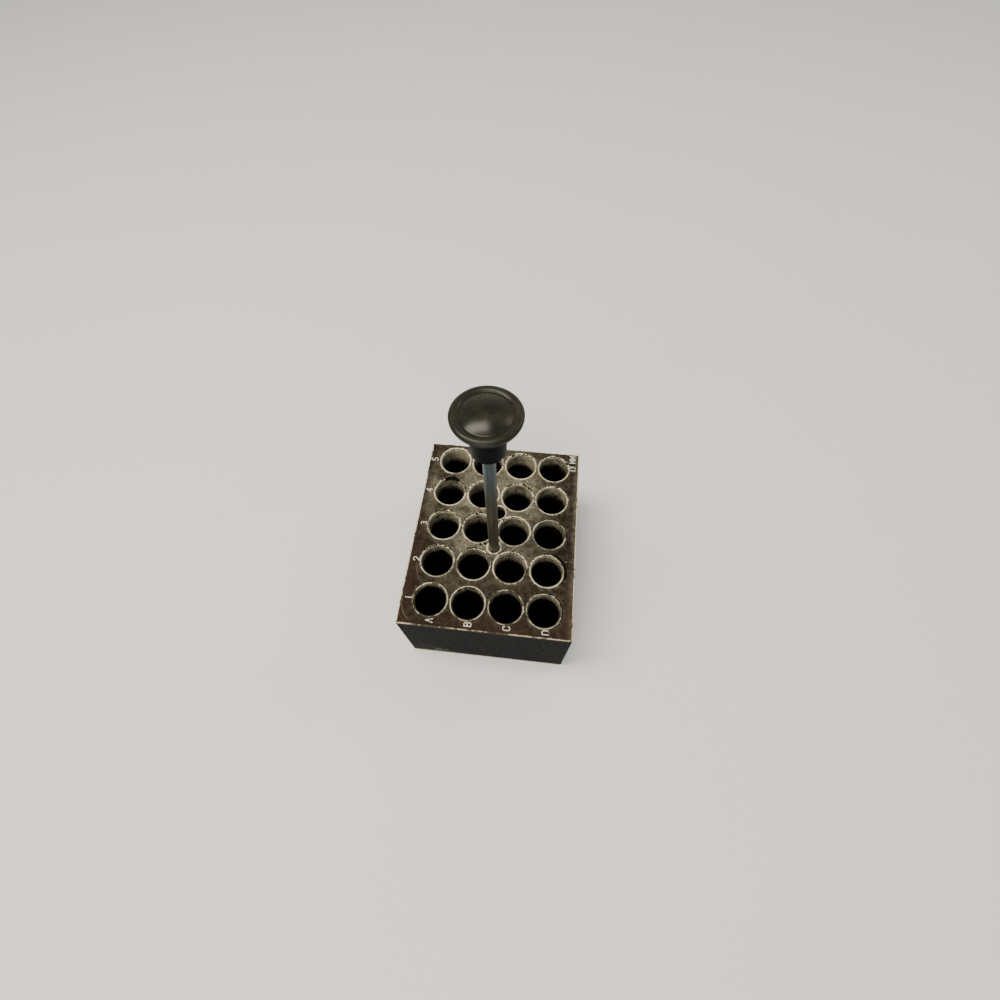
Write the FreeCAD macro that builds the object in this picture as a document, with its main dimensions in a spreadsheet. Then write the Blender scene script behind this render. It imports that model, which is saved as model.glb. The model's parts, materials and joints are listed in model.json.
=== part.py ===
"""Removable tube block of a dry block heater, with its screwed-in lifting handle.

Millimetres, +Z up. The origin is at the middle of the block's underside. X runs along
the lettered columns of wells, and Y along the numbered rows, away from the front.
"""

import FreeCAD, Part
import os
import re
import Sketcher

SIZES = {
    # block
    "block_width": 76.2,
    "block_depth": 95.25,
    "block_height": 50.8,
    "edge_break": 0.3,
    # wells for the tubes
    "well_columns": 4,
    "well_rows": 5,
    "column_pitch": 16.75,
    "row_pitch": 18.4,
    "grid_shift_x": 0.25,
    "grid_shift_y": 1.0,
    "well_diameter": 13.9,
    "well_floor": 4.8,
    "well_mouth_bevel": 0.7,
    # thermometer well and tapped hole, each midway between four wells
    "thermometer_diameter": 6.8,
    "thermometer_depth": 40.0,
    "thermometer_bevel": 0.3,
    "tapped_hole_depth": 15.0,
    "tapped_hole_bevel": 0.6,
    "drill_point_angle": 118.0,
    # lifting rod
    "rod_diameter": 4.76,
    "rod_reach": 78.5,
    "rod_end_bevel": 0.4,
    "block_engagement": 12.7,
    "knob_engagement": 9.525,
    "thread_pitch": 0.79375,
    "thread_depth": 0.4,
    "thread_angle": 60.0,
    "cutter_overrun": 0.2,
    "running_clearance": 0.05,
    # knob
    "neck_diameter": 12.0,
    "neck_length": 13.4,
    "neck_fillet": 1.2,
    "cap_diameter": 22.6,
    "underside_round": 3.0,
    "shoulder_height": 0.3,
    "shoulder_round": 1.9,
    "crease_diameter": 16.8,
    "dome_rise": 2.2,
    # insert moulded into the knob
    "insert_diameter": 8.0,
    "insert_length": 11.1,
    "insert_waist_depth": 0.7,
    "insert_waist_length": 2.5,
    "knurl_count": 24,
    "knurl_depth": 0.3,
    # engraved and painted characters
    "character_height": 3.0,
    "character_width": 1.65,
    "character_gap": 0.75,
    "stroke_width": 0.42,
    "engraving_depth": 0.3,
    "paint_recess": 0.04,
    "number_edge_gap": 0.65,
    "letter_edge_gap": 1.3,
    "letter_offset": 1.2,
    "mark_side_gap": 1.3,
    "mark_back_gap": 0.8,
}

COLUMN_NAMES = "ABCD"
SIZE_MARK = "13 MM"
# The numbers were stamped by hand: how far each stands in from the line of the back one.
NUMBER_SHIFTS = [1.0, 1.0, 0.95, 0.25, 0.0]

ROD_X = "grid_shift_x"
ROD_Y = "grid_shift_y - row_pitch / 2"
THERMOMETER_Y = "grid_shift_y + row_pitch / 2"
FIRST_WELL_X = "grid_shift_x - (well_columns - 1) / 2 * column_pitch"
FIRST_WELL_Y = "grid_shift_y - (well_rows - 1) / 2 * row_pitch"
BORE_RADIUS = "(rod_diameter / 2 + running_clearance)"

doc = FreeCAD.newDocument("tube_block")


# ------------------------------------------------------------ sizes and bindings


def make_sheet():
    """Put every driving size in a spreadsheet, in a cell of its own name."""
    sheet = doc.addObject("Spreadsheet::Sheet", "Sizes")
    for row, (name, number) in enumerate(SIZES.items(), start=1):
        sheet.set(f"A{row}", name)
        sheet.set(f"B{row}", str(number))
        sheet.setAlias(f"B{row}", name)
    doc.recompute()


def formula(text):
    """Turn the size names in a formula into references to the spreadsheet."""
    return re.sub(r"[a-z_]+", lambda word: "Sizes." * (word[0] in SIZES) + word[0], str(text))


def value(text):
    """The number that a formula of size names gives."""
    return float(doc.Sizes.evalExpression(formula(text)))


def bind(item, **properties):
    """Bind properties to formulas. A double underscore in a name stands for a dot."""
    for name, text in properties.items():
        item.setExpression(name.replace("__", "."), formula(text))


def place(item, x="0", y="0", z="0"):
    """Bind where an object stands."""
    bind(item, Placement__Base__x=x, Placement__Base__y=y, Placement__Base__z=z)


# ------------------------------------------------------------ sketches and features


def new_body(label):
    body = doc.addObject("PartDesign::Body", label)
    body.Label = label
    return body


def origin_feature(body, role):
    """A body's own origin plane or axis."""
    return next(item for item in body.Origin.OriginFeatures if item.Role == role)


def add(body, kind, name, **properties):
    """Add a feature to a body, its sizes bound to formulas."""
    item = body.newObject(f"PartDesign::{kind}", name)
    bind(item, **properties)
    return item


def new_sketch(body, name, plane):
    sketch = body.newObject("Sketcher::SketchObject", name)
    sketch.AttachmentSupport = (origin_feature(body, plane), [""])
    sketch.MapMode = "FlatFace"
    return sketch


def dimension(sketch, kind, name, text, *where):
    """Add a named dimension to a sketch and bind it to a formula."""
    index = sketch.addConstraint(Sketcher.Constraint(kind, *where, value(text)))
    sketch.renameConstraint(index, name)
    sketch.setExpression(f"Constraints.{name}", formula(text))


def pin_point(sketch, name, x, y, side, end):
    """Hold one end of a side at a place given by two formulas."""
    for kind, letter, text, axis in (("DistanceX", "x", x, -2), ("DistanceY", "y", y, -1)):
        if text == "0":
            sketch.addConstraint(Sketcher.Constraint("PointOnObject", side, end, axis))
        else:
            dimension(sketch, kind, f"{name}_{letter}", text, -1, 1, side, end)


def arc_between(start, finish, radius):
    """The shorter arc between two points. It bows to the left of the way from start to
    finish where its radius is positive, and to the right where it is negative."""
    chord = finish - start
    left = FreeCAD.Vector(-chord.y, chord.x, 0).normalize()
    to_centre = (radius**2 - (chord.Length / 2) ** 2) ** 0.5
    bow = left * (abs(radius) - to_centre) * (1 if radius > 0 else -1)
    return Part.Arc(start, (start + finish) / 2 + bow, finish)


def outline(body, name, points, arcs=None, plane="XZ_Plane"):
    """A closed outline through named points, each given by two formulas.

    arcs gives the radius of the side that leaves a point, as arc_between takes it. Other
    sides are straight.
    """
    arcs = arcs or {}
    sketch = new_sketch(body, name, plane)
    names = list(points)
    spots = [FreeCAD.Vector(value(x), value(y), 0) for x, y in points.values()]
    # a sketch stores each arc anticlockwise, so one that bows to the left starts at its end 2
    first_end = [2 if point in arcs and value(arcs[point]) > 0 else 1 for point in names]
    for side, point in enumerate(names):
        start, finish = spots[side], spots[(side + 1) % len(spots)]
        if point in arcs:
            sketch.addGeometry(arc_between(start, finish, value(arcs[point])))
        else:
            sketch.addGeometry(Part.LineSegment(start, finish))
    for side, point in enumerate(names):
        pin_point(sketch, point, *points[point], side, first_end[side])
        last = side - 1 if side else len(names) - 1
        joint = (last, 3 - first_end[last], side, first_end[side])
        sketch.addConstraint(Sketcher.Constraint("Coincident", *joint))
    for side, point in enumerate(names):
        if point in arcs:
            dimension(sketch, "Radius", f"{point}_radius", f"abs({arcs[point]})", side)
    return sketch


def turned(body, kind, sketch, name):
    """Turn an outline about the body's Z axis, as a Revolution or a Groove."""
    item = add(body, kind, name)
    item.Profile = sketch
    item.ReferenceAxis = (sketch, ["V_Axis"])
    doc.recompute()
    return item


def repeat(body, name, originals, axis, spacing, count, second=None):
    """Repeat features in even steps along one axis, or along two for a grid."""
    pattern = add(body, "LinearPattern", name)
    pattern.Originals = originals
    pattern.Direction = (origin_feature(body, axis), [""])
    bind(pattern, Occurrences=count, Length=f"({count} - 1) * ({spacing})")
    if second:
        axis, spacing, count = second
        pattern.Direction2 = (origin_feature(body, axis), [""])
        bind(pattern, Occurrences2=count, Length2=f"({count} - 1) * ({spacing})")
    body.Tip = pattern
    doc.recompute()


# ------------------------------------------------------------ block


def make_wells(body):
    """Blind wells with round bottoms and bevelled mouths, in a grid."""
    radius = "well_diameter / 2"
    at = {"Placement__Base__x": FIRST_WELL_X, "Placement__Base__y": FIRST_WELL_Y}
    bottom = f"well_floor + {radius}"
    bore_height = f"block_height - ({bottom}) + cutter_overrun"
    mouth_height = "well_mouth_bevel + cutter_overrun"
    bore = add(body, "SubtractiveCylinder", "WellBore", Radius=radius, Height=bore_height,
               Placement__Base__z=bottom, **at)
    ball = add(body, "SubtractiveSphere", "WellBottom", Radius=radius,
               Placement__Base__z=bottom, **at)
    mouth = add(body, "SubtractiveCone", "WellMouth", Radius1=radius,
                Radius2=f"{radius} + {mouth_height}", Height=mouth_height,
                Placement__Base__z="block_height - well_mouth_bevel", **at)
    doc.recompute()
    repeat(body, "Wells", [bore, ball, mouth], "X_Axis", "column_pitch", "well_columns",
           second=("Y_Axis", "row_pitch", "well_rows"))


def drill(body, name, x, y, diameter, depth, bevel):
    """A drilled blind hole in the top face, with a bevelled mouth."""
    sketch = new_sketch(body, f"{name}Centre", "XY_Plane")
    sketch.addGeometry(Part.Circle(FreeCAD.Vector(value(x), value(y)), FreeCAD.Vector(0, 0, 1), 1))
    pin_point(sketch, "centre", x, y, 0, 3)
    dimension(sketch, "Diameter", "hole_size", diameter, 0)
    bind(sketch, AttachmentOffset__Base__z="block_height")
    doc.recompute()
    hole = add(body, "Hole", name)
    hole.Profile = sketch
    doc.recompute()
    hole.DepthType = "Dimension"
    hole.DrillPoint = "Angled"
    hole.HoleCutType = "Countersink"
    bind(hole, Diameter=diameter, Depth=depth, DrillPointAngle="drill_point_angle",
         HoleCutDiameter=f"{diameter} + 2 * {bevel}", HoleCutCountersinkAngle="90")
    doc.recompute()


def make_block_body():
    """The block before its characters are engraved."""
    body = new_body("machined_block")
    side, end = "block_width / 2", "block_depth / 2"
    corners = {
        "front_left": (f"-{side}", f"-{end}"),
        "front_right": (side, f"-{end}"),
        "back_right": (side, end),
        "back_left": (f"-{side}", end),
    }
    pad = add(body, "Pad", "Billet", Length="block_height")
    pad.Profile = outline(body, "Footprint", corners, plane="XY_Plane")
    doc.recompute()
    bevel = add(body, "Chamfer", "EdgeBreak", Size="edge_break")
    bevel.Base = (pad, [f"Edge{number + 1}" for number in range(len(pad.Shape.Edges))])
    doc.recompute()
    make_wells(body)
    drill(body, "ThermometerWell", ROD_X, THERMOMETER_Y, "thermometer_diameter",
          "thermometer_depth", "thermometer_bevel")
    drill(body, "TappedHole", ROD_X, ROD_Y, f"2 * {BORE_RADIUS}", "tapped_hole_depth",
          "tapped_hole_bevel")
    return body


# ------------------------------------------------------------ engraved characters

# Strokes of each character in a box one unit wide and high: two points make a straight
# stroke, and three an arc through them.
STROKES = {
    "1": [[(0.5, 0), (0.5, 1)]],
    "2": [[(0, 0.75), (0.5, 1), (1, 0.7)], [(1, 0.7), (0, 0)], [(0, 0), (1, 0)]],
    "3": [[(0.2, 0.89), (0.86, 0.76), (0.43, 0.54)], [(0.43, 0.54), (0.93, 0.27), (0.15, 0.115)]],
    "4": [[(0.7, 0), (0.7, 1)], [(0.7, 1), (0, 0.32)], [(0, 0.32), (1, 0.32)]],
    "5": [[(0.9, 1), (0.12, 1)], [(0.12, 1), (0.07, 0.52)], [(0.07, 0.52), (0.95, 0.32), (0.07, 0.11)]],
    "A": [[(0, 0), (0.5, 1)], [(0.5, 1), (1, 0)], [(0.2, 0.36), (0.8, 0.36)]],
    "B": [[(0, 0), (0, 1)], [(0, 1), (0.55, 1)], [(0.55, 1), (0.92, 0.765), (0.55, 0.53)],
          [(0, 0.53), (0.55, 0.53)], [(0.55, 0.53), (1, 0.265), (0.55, 0)], [(0, 0), (0.55, 0)]],
    "C": [[(1, 0.78), (0.55, 1), (0, 0.7)], [(0, 0.7), (0, 0.3)], [(0, 0.3), (0.55, 0), (1, 0.22)]],
    "D": [[(0, 0), (0, 1)], [(0, 1), (0.5, 1)], [(0.5, 1), (0.88, 0.89), (1, 0.65)],
          [(1, 0.65), (1, 0.35)], [(1, 0.35), (0.88, 0.11), (0.5, 0)], [(0, 0), (0.5, 0)]],
    "M": [[(0, 0), (0, 1)], [(0, 1), (0.5, 0.3)], [(0.5, 0.3), (1, 1)], [(1, 1), (1, 0)]],
}
# Widths of the character and the space that aren't one character width wide.
NARROW = {"1": 0.1, " ": 0.8}


def turned_left(vector):
    return FreeCAD.Vector(-vector.y, vector.x, 0)


def stroke_face(path, reach):
    """The flat face that a round cutter of radius reach leaves along a stroke."""
    start, finish = path[0], path[-1]
    if len(path) == 2:
        across = [turned_left(finish - start).normalize()] * 2
        along = [finish - start] * 2
    else:
        centre = Part.Arc(*path).toShape().Curve.Center
        across = [(point - centre).normalize() for point in path]
        turn = (path[0] - centre).cross(path[1] - centre).z
        along = [turned_left(point - centre) * turn for point in (start, finish)]
    outer = [point + side * reach for point, side in zip(path, across)]
    inner = [point - side * reach for point, side in zip(path, across)]
    head = finish + along[1].normalize() * reach
    tail = start - along[0].normalize() * reach
    side_edge = Part.LineSegment if len(path) == 2 else Part.Arc
    edges = [side_edge(*outer), Part.Arc(outer[-1], head, inner[-1]),
             side_edge(*reversed(inner)), Part.Arc(inner[0], tail, outer[0])]
    return Part.Face(Part.Wire([edge.toShape() for edge in edges]))


def width_of(character):
    return value("character_width") * NARROW.get(character, 1)


def character_solid(character, x, y, low, high):
    """One character between two heights. Its top points to -X and it reads along +Y."""
    width, height = width_of(character), value("character_height")
    strokes = []
    for stroke in STROKES[character]:
        path = [FreeCAD.Vector(x + height * (0.5 - up), y + width * (along - 0.5), low)
                for along, up in stroke]
        face = stroke_face(path, value("stroke_width / 2"))
        strokes.append(face.extrude(FreeCAD.Vector(0, 0, high - low)))
    solid = strokes[0].multiFuse(strokes[1:]) if len(strokes) > 1 else strokes[0]
    return solid.removeSplitter()


def number_places():
    """The row numbers down the left margin, the back one nearest the edge."""
    edge = "edge_break + number_edge_gap + (stroke_width + character_height) / 2"
    for row, shift in enumerate(NUMBER_SHIFTS):
        x = value(f"{edge} - block_width / 2") + shift
        yield str(row + 1), x, value(FIRST_WELL_Y) + row * value("row_pitch")


def letter_places():
    """The column letters along the front margin."""
    edge = "edge_break + letter_edge_gap + (stroke_width + character_width) / 2"
    for column, letter in enumerate(COLUMN_NAMES):
        x = value(FIRST_WELL_X) + column * value("column_pitch") + value("letter_offset")
        yield letter, x, value(f"{edge} - block_depth / 2")


def mark_places():
    """The tube size in the back right corner. It reads from front to back."""
    side = "edge_break + mark_side_gap + (stroke_width + character_height) / 2"
    x = value(f"block_width / 2 - ({side})")
    back = value("block_depth / 2 - edge_break - mark_back_gap - stroke_width / 2")
    for character in reversed(SIZE_MARK):
        if character in STROKES:
            yield character, x, back - width_of(character) / 2
            back -= value("character_gap")
        back -= width_of(character)


CHARACTER_GROUPS = {
    "row_numbers": number_places,
    "column_letters": letter_places,
    "size_mark": mark_places,
}


def make_characters(label, places, low, high):
    """A group of characters between two heights above the block's underside."""
    solids = [character_solid(*spot, value(low), value(high)) for spot in places()]
    group = doc.addObject("Part::Feature", label)
    group.Label = label
    group.Shape = Part.makeCompound([piece for solid in solids for piece in solid.Solids])
    return group


def make_paint():
    """The paint in the engraved strokes, a little below the top face."""
    floor, top = "block_height - engraving_depth", "block_height - paint_recess"
    return [make_characters(label, places, floor, top) for label, places in CHARACTER_GROUPS.items()]


def engrave(block):
    """Cut every character into the block's top face."""
    floor, top = "block_height - engraving_depth", "block_height + cutter_overrun"
    cutters = doc.addObject("Part::Compound", "engraving_cuts")
    cutters.Links = [make_characters(f"{label}_cut", places, floor, top)
                     for label, places in CHARACTER_GROUPS.items()]
    engraved = doc.addObject("Part::Cut", "tube_block")
    engraved.Label = "tube_block"
    engraved.Base, engraved.Tool = block, cutters
    return engraved


# ------------------------------------------------------------ lifting handle


def cut_thread(body, name, bottom, length):
    """Thread grooves of a rod, one per turn, up from the height bottom."""
    depth = "(thread_depth + cutter_overrun)"
    half_width = f"{depth} * tan(thread_angle / 2)"
    middle = f"{bottom} + thread_pitch / 2"
    groove_points = {
        "root": ("rod_diameter / 2 - thread_depth", middle),
        "below": ("rod_diameter / 2 + cutter_overrun", f"{middle} - {half_width}"),
        "above": ("rod_diameter / 2 + cutter_overrun", f"{middle} + {half_width}"),
    }
    groove = turned(body, "Groove", outline(body, f"{name}Profile", groove_points), f"{name}Turn")
    repeat(body, name, [groove], "Z_Axis", "thread_pitch", f"round({length} / thread_pitch)")


def make_rod():
    """A plain rod, bevelled and threaded at both ends, its lower end at its own origin."""
    body = new_body("lifting_rod")
    length = "(block_engagement + rod_reach + knob_engagement)"
    radius, bevel = "rod_diameter / 2", "rod_end_bevel"
    points = {
        "bottom": ("0", "0"),
        "bottom_edge": (f"{radius} - {bevel}", "0"),
        "bottom_side": (radius, bevel),
        "top_side": (radius, f"{length} - {bevel}"),
        "top_edge": (f"{radius} - {bevel}", length),
        "top": ("0", length),
    }
    turned(body, "Revolution", outline(body, "RodProfile", points), "Rod")
    cut_thread(body, "BlockThread", "0", "block_engagement")
    cut_thread(body, "KnobThread", "(block_engagement + rod_reach)", "knob_engagement")
    place(body, ROD_X, ROD_Y, "block_height - block_engagement")
    return body


def place_on_rod(item):
    """Stand a piece of the knob at the knob's lower end."""
    place(item, ROD_X, ROD_Y, "block_height + rod_reach")


def make_insert_blank():
    """The insert before it is bored: waisted and knurled so that the moulding grips it."""
    body = new_body("insert_blank")
    radius, waist = "insert_diameter / 2", "insert_diameter / 2 - insert_waist_depth"
    low = "(insert_length - insert_waist_length) / 2"
    high = "(insert_length + insert_waist_length) / 2"
    points = {
        "bottom": ("0", "0"),
        "bottom_edge": (radius, "0"),
        "waist_start": (radius, low),
        "waist_low": (waist, low),
        "waist_high": (waist, high),
        "waist_end": (radius, high),
        "top_edge": (radius, "insert_length"),
        "top": ("0", "insert_length"),
    }
    turned(body, "Revolution", outline(body, "InsertProfile", points), "Blank")
    groove = add(body, "SubtractiveCylinder", "KnurlGroove", Radius="knurl_depth",
                 Height="insert_length", Placement__Base__x=radius)
    doc.recompute()
    knurl = add(body, "PolarPattern", "Knurl", Occurrences="knurl_count")
    knurl.Originals = [groove]
    knurl.Axis = (origin_feature(body, "Z_Axis"), [""])
    knurl.Angle = 360
    body.Tip = knurl
    return body


def make_knob_body():
    """The knob as a solid turning: straight neck, rounded rim, and a dome inside a crease."""
    body = new_body("knob_blank")
    neck, cap, crease = "neck_diameter / 2", "cap_diameter / 2", "crease_diameter / 2"
    underside = "(neck_length + neck_fillet)"
    widest = f"({underside} + underside_round)"
    shoulder = f"({widest} + shoulder_height)"
    dome_round = f"(({crease}) * ({crease}) + dome_rise * dome_rise) / (2 * dome_rise)"
    points = {
        "bottom": ("0", "0"),
        "neck_bottom": (neck, "0"),
        "neck_top": (neck, "neck_length"),
        "underside_start": (f"{neck} + neck_fillet", underside),
        "underside_end": (f"{cap} - underside_round", underside),
        "widest": (cap, widest),
        "crease": (crease, shoulder),
        "apex": ("0", f"{shoulder} + dome_rise"),
    }
    arcs = {
        "neck_top": "neck_fillet",
        "underside_end": "-underside_round",
        "widest": "-shoulder_round",
        "crease": f"-{dome_round}",
    }
    turned(body, "Revolution", outline(body, "KnobProfile", points, arcs), "Turning")
    return body


def make_knob():
    """The knob and its insert, which meet over the insert's whole outside."""
    blank = make_insert_blank()
    bore = doc.addObject("Part::Cylinder", "insert_bore")
    bind(bore, Radius=BORE_RADIUS, Height="insert_length")
    insert = doc.addObject("Part::Cut", "knob_insert")
    insert.Base, insert.Tool = blank, bore
    knob = doc.addObject("Part::Cut", "knob")
    knob.Base, knob.Tool = make_knob_body(), blank
    for piece in (insert, knob):
        piece.Label = piece.Name
        place_on_rod(piece)
    return [insert, knob]


# ------------------------------------------------------------ build, check, write


def check_built(pieces):
    """Stop unless every object was computed and every piece is a valid shape."""
    for item in doc.Objects:
        if {"Invalid", "Error"} & set(item.State):
            raise SystemExit(f"{item.Name} failed: {item.State}")
    for piece in pieces:
        if piece.Shape.isNull() or not piece.Shape.isValid() or not piece.Shape.Solids:
            raise SystemExit(f"{piece.Label} is not a valid solid")


def main():
    make_sheet()
    pieces = [engrave(make_block_body()), make_rod(), *make_knob(), *make_paint()]
    doc.recompute()
    check_built(pieces)
    os.makedirs("parts", exist_ok=True)
    for piece in pieces:
        piece.Shape.exportStep(f"parts/{piece.Label}.step")
        print(f"{piece.Label:16} {piece.Shape.Volume:12.2f} mm3, {len(piece.Shape.Solids)} solids")


main()
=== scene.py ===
"""Looks of the tube block with its screwed-in lifting handle.

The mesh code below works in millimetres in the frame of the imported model: +Z up, +Y away from
the front, wells in lettered columns along X and numbered rows along Y. new_mesh() turns
the millimetres into metres.
"""

import json
import math

import bmesh
import bpy
import numpy as np
from mathutils import Matrix, Vector
from mathutils.geometry import delaunay_2d_cdt


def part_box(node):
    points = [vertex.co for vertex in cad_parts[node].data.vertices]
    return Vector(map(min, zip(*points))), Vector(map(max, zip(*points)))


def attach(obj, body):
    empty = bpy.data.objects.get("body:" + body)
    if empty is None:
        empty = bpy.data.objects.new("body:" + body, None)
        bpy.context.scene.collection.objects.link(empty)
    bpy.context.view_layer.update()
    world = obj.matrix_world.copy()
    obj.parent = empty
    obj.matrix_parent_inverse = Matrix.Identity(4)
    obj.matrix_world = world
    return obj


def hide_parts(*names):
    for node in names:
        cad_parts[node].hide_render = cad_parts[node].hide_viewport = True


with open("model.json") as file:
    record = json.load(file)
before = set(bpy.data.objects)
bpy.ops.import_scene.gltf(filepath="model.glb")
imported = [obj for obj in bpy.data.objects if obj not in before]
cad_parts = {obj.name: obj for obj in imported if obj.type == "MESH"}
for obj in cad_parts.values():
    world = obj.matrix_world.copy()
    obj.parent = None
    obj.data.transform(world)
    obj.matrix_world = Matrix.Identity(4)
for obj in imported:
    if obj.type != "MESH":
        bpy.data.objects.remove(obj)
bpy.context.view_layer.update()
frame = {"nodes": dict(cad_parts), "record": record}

MM = 0.001
TAU = 2 * math.pi


def millimetres(vector):
    return [number / MM for number in vector]


BLOCK_LOW, BLOCK_HIGH = (millimetres(corner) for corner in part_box("tube_block"))
TOP = BLOCK_HIGH[2]
MOUNTS = {mount["name"]: mount for mount in frame["record"]["mounts"]}
ROD_LOW, ROD_HIGH = (millimetres(corner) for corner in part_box("lifting_rod"))
ROD_RADIUS = (ROD_HIGH[0] - ROD_LOW[0]) / 2
ROD_X, ROD_Y = (ROD_LOW[0] + ROD_HIGH[0]) / 2, (ROD_LOW[1] + ROD_HIGH[1]) / 2
KNOB_LOW, KNOB_HIGH = (millimetres(corner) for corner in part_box("knob"))
INSERT_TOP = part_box("knob_insert")[1][2] / MM

# Columns of the wear and painted shading that the block's mesh carries at each vertex: bare metal,
# black crust (deep in the wells also painted shade), pale worn coating (on the wells' upper walls
# also painted light), and warm brown coating.
BARE, CRUST_AND_SHADE, PALE, WARM = range(4)
WEAR_KINDS = 4


# ------------------------------------------------------------ noise and profiles


def grain(x, y, seed=0):
    """Smooth noise from 0 to 1 over a plane, one unit to a patch."""
    left, front = np.floor(x), np.floor(y)
    across, along = x - left, y - front
    across, along = across * across * (3 - 2 * across), along * along * (3 - 2 * along)

    def corner(i, j):
        wave = np.sin((left + i) * 127.1 + (front + j) * 311.7 + seed * 74.7) * 43758.5453
        return wave - np.floor(wave)

    near = corner(0, 0) * (1 - across) + corner(1, 0) * across
    far = corner(0, 1) * (1 - across) + corner(1, 1) * across
    return near * (1 - along) + far * along


def step(number, low, high):
    """0 below low, 1 above high, smooth between."""
    part = np.clip((number - low) / (high - low), 0, 1)
    return part * part * (3 - 2 * part)


def bump(number, middle, width):
    """1 at the middle, fading out on both sides of it."""
    return np.exp(-(((number - middle) / width) ** 2))


# ------------------------------------------------------------ mesh pieces


class Shell:
    """Points with their wear, and the faces between them."""

    def __init__(self):
        self.points, self.wear, self.faces = [], [], []

    def add_points(self, points, wear=None):
        first = len(self.points)
        self.points.extend(np.asarray(points, float).tolist())
        none = np.zeros((len(points), WEAR_KINDS))
        self.wear.extend((none if wear is None else np.clip(wear, 0, 1)).tolist())
        return first

    def loft(self, rings, wears=None, close_start=False, close_end=False):
        """Join rings of equally many points, each seen anticlockwise from the next one's far side."""
        count = len(rings[0])
        firsts = [self.add_points(ring, wears[i] if wears else None) for i, ring in enumerate(rings)]
        for low, high in zip(firsts, firsts[1:]):
            for i in range(count):
                j = (i + 1) % count
                self.faces.append((low + j, low + i, high + i, high + j))
        if close_start:
            self.faces.append(tuple(range(firsts[0], firsts[0] + count)))
        if close_end:
            self.faces.append(tuple(reversed(range(firsts[-1], firsts[-1] + count))))


def new_mesh(name, shell):
    mesh = bpy.data.meshes.new(name)
    mesh.from_pydata([[number * MM for number in point] for point in shell.points], [], shell.faces)
    return mesh


def link(name, data):
    """A new object of the scene."""
    made = bpy.data.objects.new(name, data)
    bpy.context.scene.collection.objects.link(made)
    return made


def smooth(mesh):
    mesh.polygons.foreach_set("use_smooth", [True] * len(mesh.polygons))


def new_piece(name, shell, body, sharp=0.6, merge=2e-6):
    """A Blender object from a shell, with its wear and painted shading as a colour attribute."""
    mesh = new_mesh(name, shell)
    layer = mesh.color_attributes.new("wear", "FLOAT_COLOR", "POINT")
    layer.data.foreach_set("color", np.array(shell.wear, np.float32).ravel())
    edit = bmesh.new()
    edit.from_mesh(mesh)
    bmesh.ops.remove_doubles(edit, verts=edit.verts, dist=merge)
    bmesh.ops.dissolve_degenerate(edit, edges=edit.edges, dist=merge)
    bmesh.ops.recalc_face_normals(edit, faces=edit.faces)
    edit.to_mesh(mesh)
    edit.free()
    smooth(mesh)
    mesh.set_sharp_from_angle(angle=sharp)
    piece = link(name, mesh)
    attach(piece, body)
    return piece


# ------------------------------------------------------------ wells

RIM_POINTS, TAPPED_POINTS = 96, 64
# Rim wear and wall colour of each well: brightness of the lip, width and strength of the crust of pale
# wear on its far side, lightness of its upper wall, which is partly pale worn coating and partly painted
# light and also sets how deep that lit band reaches before the wall is painted dark as shade, and depth
# of the tool's rings in that wall.
WELL_LOOKS = {
    "a1": (0.62, 0.30, 0.15, 0.0), "b1": (0.72, 0.35, 0.25, 0.03), "c1": (0.55, 0.25, 0.20, 0.0),
    "d1": (0.72, 0.50, 0.35, 0.04), "a2": (0.85, 0.50, 0.35, 0.02), "b2": (0.85, 0.45, 0.40, 0.02),
    "c2": (0.95, 0.85, 0.60, 0.03), "d2": (1.00, 0.90, 0.40, 0.0), "a3": (0.95, 0.80, 0.65, 0.0),
    "b3": (0.90, 0.85, 0.60, 0.02), "c3": (0.95, 0.90, 0.65, 0.02), "d3": (0.85, 0.45, 0.45, 0.09),
    "a4": (0.95, 0.85, 0.60, 0.04), "b4": (0.90, 0.85, 0.60, 0.02), "c4": (0.95, 0.85, 0.75, 0.03),
    "d4": (0.85, 0.70, 0.60, 0.05), "a5": (0.95, 1.00, 0.95, 0.02), "b5": (0.95, 0.85, 0.50, 0.0),
    "c5": (0.95, 1.00, 0.90, 0.03), "d5": (0.90, 0.75, 0.55, 0.08),
    "thermometer_well": (0.8, 0.5, 0.2, 0.0), "tapped": (1.3, 1.0, 0.0, 0.0),
}
WELL_LINE, TAPPED_LINE = 0.24, 0.5
TOOL_RING_PITCH = 1.25
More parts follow.
